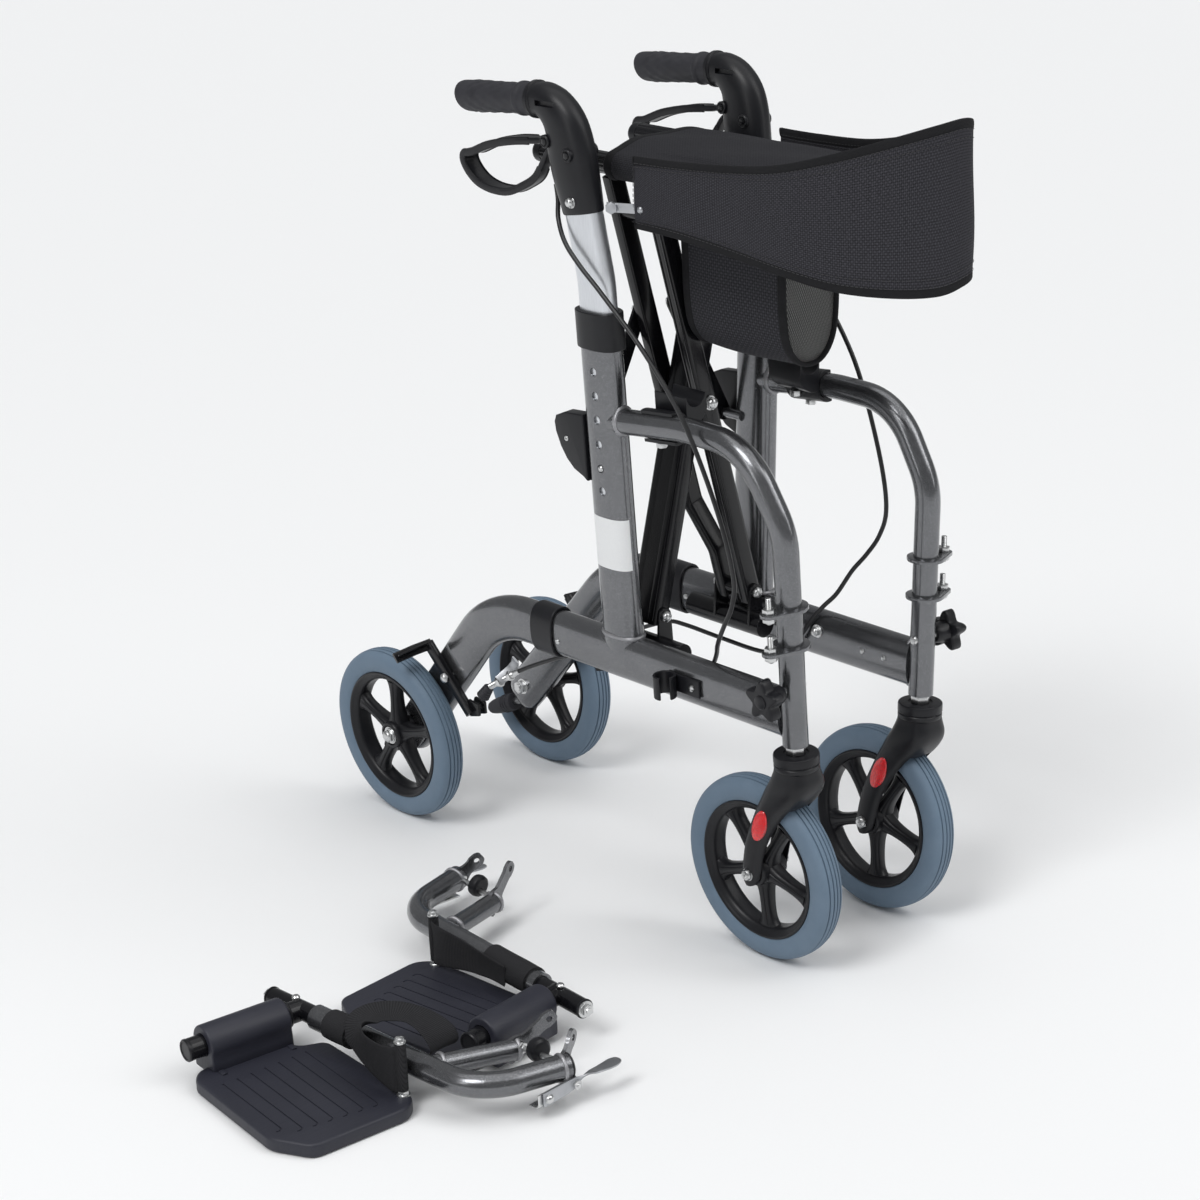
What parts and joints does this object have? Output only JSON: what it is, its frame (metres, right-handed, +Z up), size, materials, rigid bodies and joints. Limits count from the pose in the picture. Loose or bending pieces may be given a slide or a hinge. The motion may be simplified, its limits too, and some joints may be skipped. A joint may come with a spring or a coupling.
{
  "type": "four-wheel walker",
  "caption": "Folding wheeled walker with height-adjustable handles, loop brake levers, folded seat with bag, backrest strap and loose footrests.",
  "frame": {"origin": "middle of the whole outer box at floor level", "axes": "+Z up, -Y forward, +X to the walker's left as its user stands"},
  "size_m": [0.8114, 0.8472, 0.8696],
  "materials": {
    "frame_metal": "dark metallic, satin",
    "silver_tube": "anodised",
    "black_plastic": "fine texture",
    "black_tube": "gloss black powder coat",
    "grip_rubber": "matte",
    "tyre_rubber": "matte blue grey",
    "cable_jacket": "smooth",
    "fabric": "woven",
    "webbing": "ribbed webbing",
    "latch_steel": "zinc plated"
  },
  "bodies": {
    "right_frame": {"right_side_frame": "frame_metal", "right_rear_leg": "frame_metal", "right_tipping_peg": "black_plastic", "right_rear_leg_collar": "black_plastic", "right_clamp_collar": "black_plastic", "right_quadrant_block": "black_plastic", "right_rail_cradle": "black_plastic", "right_brake_cable": "cable_jacket", "right_pivot_bracket": "black_tube", "holder_clip": "black_plastic"},
    "left_frame": {"left_side_frame": "frame_metal", "left_rear_leg": "frame_metal", "left_tipping_peg": "black_plastic", "left_rear_leg_collar": "black_plastic", "left_clamp_collar": "black_plastic", "left_quadrant_block": "black_plastic", "left_rail_cradle": "black_plastic", "left_brake_cable": "cable_jacket", "left_pivot_bracket": "black_tube"},
    "cross_a": {"cross_frame_a": "black_tube", "seat_rail_left": "black_tube", "seat": "fabric", "bag": "fabric"},
    "cross_b": {"cross_frame_b": "black_tube", "seat_rail_right": "black_tube"},
    "backrest": {"backrest_strap": "fabric"},
    "left_link": {"left_stabiliser_link": "black_tube"},
    "left_handle": {"left_handle_tube": "silver_tube", "left_handle_housing": "black_plastic", "left_hand_grip": "grip_rubber"},
    "left_lever": {"left_brake_lever": "black_plastic"},
    "left_brake_arm": {"left_brake_arm": "black_tube"},
    "left_caster": {"left_caster_fork": "black_plastic"},
    "left_front_wheel": {"left_front_tyre": "tyre_rubber", "left_front_rim": "black_plastic"},
    "left_rear_wheel": {"left_rear_tyre": "tyre_rubber", "left_rear_rim": "black_plastic"},
    "left_knob": {"left_star_knob": "black_plastic"},
    "right_link": {"right_stabiliser_link": "black_tube"},
    "right_handle": {"right_handle_tube": "silver_tube", "right_handle_housing": "black_plastic", "right_hand_grip": "grip_rubber"},
    "right_lever": {"right_brake_lever": "black_plastic"},
    "right_brake_arm": {"right_brake_arm": "black_tube"},
    "right_caster": {"right_caster_fork": "black_plastic"},
    "right_front_wheel": {"right_front_tyre": "tyre_rubber", "right_front_rim": "black_plastic"},
    "right_rear_wheel": {"right_rear_tyre": "tyre_rubber", "right_rear_rim": "black_plastic"},
    "right_knob": {"right_star_knob": "black_plastic"},
    "footrest_a_lift": {"footrest_a_hanger": "frame_metal"},
    "footrest_a_extension": {"footrest_a_extension_tube": "black_tube"},
    "footrest_a_plate": {"footrest_a_plate": "black_plastic", "footrest_a_heel_loop": "webbing"},
    "footrest_a_latch": {"footrest_a_latch_lever": "latch_steel"},
    "footrest_b_lift": {"footrest_b_hanger": "frame_metal"},
    "footrest_b_extension": {"footrest_b_extension_tube": "black_tube"},
    "footrest_b_plate": {"footrest_b_plate": "black_plastic", "footrest_b_heel_loop": "webbing"},
    "footrest_b_latch": {"footrest_b_latch_lever": "latch_steel"}
  },
  "joints": [
    {"name": "unfold", "type": "hinge", "parent": "right_frame", "child": "cross_a", "pos_m": [0.20252, -0.04794, 0.32247], "axis": [0, 1, 0], "range_deg": [0, 42.97]},
    {"name": "cross_scissor", "type": "hinge", "parent": "cross_a", "child": "cross_b", "pos_m": [0.26053, -0.04794, 0.5411], "axis": [0, 1, 0], "range_deg": [-85.95, 0], "deforming": ["seat", "bag"]},
    {"name": "left_frame_pivot", "type": "hinge", "parent": "cross_b", "child": "left_frame", "pos_m": [0.31851, -0.04794, 0.32247], "axis": [0, 1, 0], "range_deg": [0, 42.98]},
    {"name": "backrest_spread", "type": "slide", "parent": "right_handle", "child": "backrest", "axis": [1, 0, 0], "range_m": [0, 0.2674], "deforming": ["backrest_strap"]},
    {"name": "left_link_pivot", "type": "hinge", "parent": "left_frame", "child": "left_link", "pos_m": [0.35152, -0.00994, 0.49847], "axis": [0, 1, 0], "range_deg": [-65.6, 0]},
    {"name": "left_handle_height", "type": "slide", "parent": "left_frame", "child": "left_handle", "axis": [0.0483, 0, 0.9988], "range_m": [-0.025, 0.1], "deforming": ["left_brake_cable"]},
    {"name": "left_lever_squeeze", "type": "hinge", "parent": "left_handle", "child": "left_lever", "pos_m": [0.37945, -0.00594, 0.81586], "axis": [0.9988, 0, -0.0483], "range_deg": [0, 12.61], "stiffness_Nm_per_rad": 0.5, "springref_deg": -5.73},
    {"name": "left_brake", "type": "hinge", "parent": "left_frame", "child": "left_brake_arm", "pos_m": [0.36299, 0.24006, 0.18593], "axis": [0.9988, 0, -0.0483], "range_deg": [-18.96, 0]},
    {"name": "left_caster_swivel", "type": "hinge", "parent": "left_frame", "child": "left_caster", "pos_m": [0.35218, -0.29194, 0.25212], "axis": [-0.0483, 0, -0.9988], "continuous": true},
    {"name": "left_front_roll", "type": "hinge", "parent": "left_caster", "child": "left_front_wheel", "pos_m": [0.34485, -0.23844, 0.1007], "axis": [0.9988, 0, -0.0483], "continuous": true},
    {"name": "left_rear_roll", "type": "hinge", "parent": "left_frame", "child": "left_rear_wheel", "pos_m": [0.37232, 0.32356, 0.09937], "axis": [0.9988, 0, -0.0483], "continuous": true},
    {"name": "left_knob_turn", "type": "hinge", "parent": "left_frame", "child": "left_knob", "pos_m": [0.38506, -0.29194, 0.311], "axis": [0.9988, 0, -0.0483], "continuous": true},
    {"name": "right_link_pivot", "type": "hinge", "parent": "right_frame", "child": "right_link", "pos_m": [0.16951, -0.00994, 0.49847], "axis": [0, 1, 0], "range_deg": [0, 65.6]},
    {"name": "right_handle_height", "type": "slide", "parent": "right_frame", "child": "right_handle", "axis": [-0.0483, 0, 0.9988], "range_m": [-0.025, 0.1], "deforming": ["right_brake_cable"]},
    {"name": "right_lever_squeeze", "type": "hinge", "parent": "right_handle", "child": "right_lever", "pos_m": [0.14158, -0.00594, 0.81586], "axis": [0.9988, 0, 0.0483], "range_deg": [0, 12.61], "stiffness_Nm_per_rad": 0.5, "springref_deg": -5.73},
    {"name": "right_brake", "type": "hinge", "parent": "right_frame", "child": "right_brake_arm", "pos_m": [0.15804, 0.24006, 0.18593], "axis": [0.9988, 0, 0.0483], "range_deg": [-18.96, 0]},
    {"name": "right_caster_swivel", "type": "hinge", "parent": "right_frame", "child": "right_caster", "pos_m": [0.16885, -0.29194, 0.25212], "axis": [-0.0483, 0, 0.9988], "continuous": true},
    {"name": "right_front_roll", "type": "hinge", "parent": "right_caster", "child": "right_front_wheel", "pos_m": [0.17618, -0.23844, 0.1007], "axis": [0.9988, 0, 0.0483], "continuous": true},
    {"name": "right_rear_roll", "type": "hinge", "parent": "right_frame", "child": "right_rear_wheel", "pos_m": [0.14871, 0.32356, 0.09937], "axis": [0.9988, 0, 0.0483], "continuous": true},
    {"name": "right_knob_turn", "type": "hinge", "parent": "right_frame", "child": "right_knob", "pos_m": [0.13597, -0.29194, 0.311], "axis": [0.9988, 0, 0.0483], "continuous": true},
    {"name": "footrest_a_lift_off", "type": "slide", "parent": "right_frame", "child": "footrest_a_lift", "axis": [0, 0, 1], "range_m": [0, 0.25]},
    {"name": "footrest_a_length", "type": "slide", "parent": "footrest_a_lift", "child": "footrest_a_extension", "axis": [-0.0645, 0.9979, 0], "range_m": [0, 0.055]},
    {"name": "footrest_a_plate_fold", "type": "hinge", "parent": "footrest_a_extension", "child": "footrest_a_plate", "pos_m": [-0.26269, -0.04194, 0.03647], "axis": [0.9951, -0.0993, 0], "range_deg": [0, 90], "deforming": ["footrest_a_heel_loop"]},
    {"name": "footrest_a_latch_turn", "type": "hinge", "parent": "footrest_a_lift", "child": "footrest_a_latch", "pos_m": [-0.18216, -0.32634, 0.02447], "axis": [0.0645, -0.9979, 0], "range_deg": [-15, 0], "stiffness_Nm_per_rad": 0.3, "springref_deg": 2.86},
    {"name": "footrest_b_lift_off", "type": "slide", "parent": "right_frame", "child": "footrest_b_lift", "axis": [0, 0, 1], "range_m": [0, 0.25]},
    {"name": "footrest_b_length", "type": "slide", "parent": "footrest_b_lift", "child": "footrest_b_extension", "axis": [-0.0541, -0.9985, 0], "range_m": [-0.012, 0]},
    {"name": "footrest_b_plate_fold", "type": "hinge", "parent": "footrest_b_extension", "child": "footrest_b_plate", "pos_m": [-0.07248, -0.19894, 0.03647], "axis": [0.9928, 0.1201, 0], "range_deg": [-20, 0], "deforming": ["footrest_b_heel_loop"]},
    {"name": "footrest_b_latch_turn", "type": "hinge", "parent": "footrest_b_lift", "child": "footrest_b_latch", "pos_m": [0.00527, 0.09028, 0.02447], "axis": [0.0541, 0.9985, 0], "range_deg": [0, 15], "stiffness_Nm_per_rad": 0.3, "springref_deg": -2.86}
  ],
  "couplings": [
    {"joint": "cross_scissor", "follows": "unfold", "ratio": -2},
    {"joint": "left_frame_pivot", "follows": "unfold", "ratio": 1},
    {"joint": "backrest_spread", "follows": "unfold", "m_per_rad": 0.35591},
    {"joint": "left_link_pivot", "follows": "unfold", "ratio": -1.5222},
    {"joint": "left_brake", "follows": "left_lever_squeeze", "ratio": -1.5},
    {"joint": "right_link_pivot", "follows": "unfold", "ratio": 1.5222},
    {"joint": "right_brake", "follows": "right_lever_squeeze", "ratio": -1.5}
  ]
}
